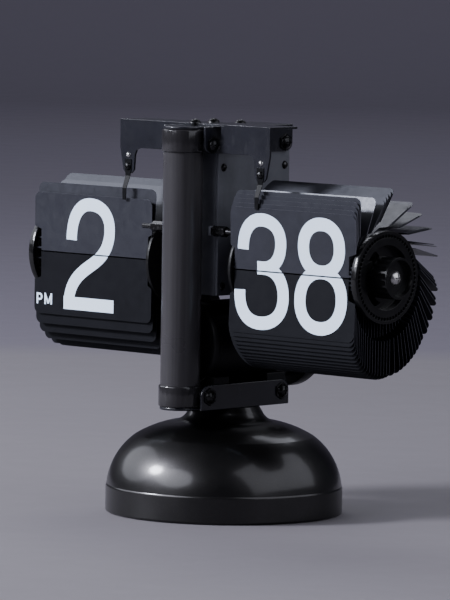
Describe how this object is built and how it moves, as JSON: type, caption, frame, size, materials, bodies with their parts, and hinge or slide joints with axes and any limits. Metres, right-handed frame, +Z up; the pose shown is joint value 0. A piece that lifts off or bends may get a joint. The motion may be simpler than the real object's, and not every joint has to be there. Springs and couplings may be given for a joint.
{
  "type": "flip number clock",
  "caption": "Balance-style flip number clock: hour and minute card drums either side of a round column on a domed base, with setting knob and battery barrel.",
  "frame": {"origin": "centre of the base's underside, on the surface it stands on", "axes": "+X to the reader's right along the drums' axis, +Y to the back, +Z up"},
  "size_m": [0.2, 0.1029, 0.166],
  "materials": {
    "base_paint": "deep gloss gunmetal black paint",
    "satin_paint": "satin black powder paint",
    "column_paint": "semi-gloss black paint over a drawn tube",
    "card": "matt black card with white printed figures",
    "black_plastic": "moulded black plastic",
    "black_steel": "black oxide on steel",
    "bright_steel": "bright plated steel",
    "brass": "turned brass",
    "foot_rubber": "rubber sheet",
    "iron": "cast iron",
    "cell_wrap": "printed wrap in plain bands",
    "nylon": "white nylon"
  },
  "bodies": {
    "frame": {"base_nut": "bright_steel", "base_pad": "foot_rubber", "base_shell": "base_paint", "base_sleeve": "bright_steel", "base_weight": "iron", "battery_barrel": "black_plastic", "battery_contact": "bright_steel", "battery_front_cap": "black_plastic", "battery_saddle": "black_plastic", "bottom_channel": "satin_paint", "case_screws": "black_steel", "channel_screws": "black_steel", "channel_washers": "black_steel", "column_foot": "column_paint", "column_head": "column_paint", "column_tube": "column_paint", "hour_hanging_cards": "card", "hour_leaf": "black_steel", "hour_lower_card": "card", "hour_rear_cards": "card", "hour_upper_cards": "card", "leaf_rivets": "bright_steel", "leaf_screws": "black_steel", "minute_hanging_cards": "card", "minute_leaf": "black_steel", "minute_lower_card": "card", "minute_rear_cards": "card", "minute_upper_cards": "card", "motor": "bright_steel", "movement_case": "satin_paint", "movement_cover": "satin_paint", "neck_bolt": "bright_steel", "pawl_bracket": "satin_paint", "shaft_bushes": "brass", "side_posts": "black_steel", "top_channel": "satin_paint", "top_screws": "black_steel"},
    "minute_drum": {"minute_inner_flange": "black_plastic", "minute_outer_flange": "black_plastic", "minute_hub": "black_plastic", "minute_shaft": "bright_steel", "minute_gear": "nylon", "hour_pinion": "brass", "minute_knob": "black_plastic", "knob_screw": "bright_steel"},
    "hour_drum": {"hour_inner_flange": "black_plastic", "hour_outer_flange": "black_plastic", "hour_hub": "black_plastic", "hour_shaft": "bright_steel", "hour_gear": "nylon", "hour_hub_cap": "black_plastic", "hour_cap_screw": "black_steel"},
    "transfer_arbor": {"transfer_wheel": "nylon"},
    "reduction_arbor": {"reduction_wheel": "nylon"},
    "motor_rotor": {"motor_pinion": "brass"},
    "minute_card": {"minute_falling_card": "card"},
    "hour_card": {"hour_falling_card": "card"},
    "battery_lid": {"battery_rear_cap": "black_plastic", "battery_spring": "bright_steel"},
    "cell": {"battery_cell": "cell_wrap"}
  },
  "joints": [
    {"name": "minute_drum_turn", "type": "hinge", "parent": "frame", "child": "minute_drum", "pos_m": [0, -0.005, 0.1049], "axis": [1, 0, 0], "continuous": true},
    {"name": "hour_drum_turn", "type": "hinge", "parent": "frame", "child": "hour_drum", "pos_m": [0, -0.005, 0.1049], "axis": [1, 0, 0], "continuous": true},
    {"name": "transfer_turn", "type": "hinge", "parent": "frame", "child": "transfer_arbor", "pos_m": [0, 0.00539, 0.10307], "axis": [1, 0, 0], "continuous": true},
    {"name": "reduction_turn", "type": "hinge", "parent": "frame", "child": "reduction_arbor", "pos_m": [0, -0.00129, 0.1151], "axis": [1, 0, 0], "continuous": true},
    {"name": "motor_turn", "type": "hinge", "parent": "frame", "child": "motor_rotor", "pos_m": [0, 0.00054, 0.12549], "axis": [1, 0, 0], "continuous": true},
    {"name": "minute_card_fall", "type": "hinge", "parent": "frame", "child": "minute_card", "pos_m": [0, -0.02198, 0.10579], "axis": [1, 0, 0], "range_deg": [0, 165], "deforming": ["minute_leaf"]},
    {"name": "hour_card_fall", "type": "hinge", "parent": "frame", "child": "hour_card", "pos_m": [0, -0.02185, 0.10712], "axis": [1, 0, 0], "range_deg": [0, 170], "deforming": ["hour_leaf"]},
    {"name": "battery_cap_pull", "type": "slide", "parent": "frame", "child": "battery_lid", "axis": [0, 1, 0], "range_m": [0, 0.08]},
    {"name": "cell_pull", "type": "slide", "parent": "frame", "child": "cell", "axis": [0, 1, 0], "range_m": [0, 0.074]}
  ],
  "couplings": [
    {"joint": "hour_drum_turn", "follows": "minute_drum_turn", "ratio": 0.041667},
    {"joint": "transfer_turn", "follows": "minute_drum_turn", "ratio": -0.25},
    {"joint": "reduction_turn", "follows": "minute_drum_turn", "ratio": -6.2},
    {"joint": "motor_turn", "follows": "minute_drum_turn", "ratio": 37.2},
    {"joint": "cell_pull", "follows": "battery_cap_pull", "ratio": 0.9}
  ]
}
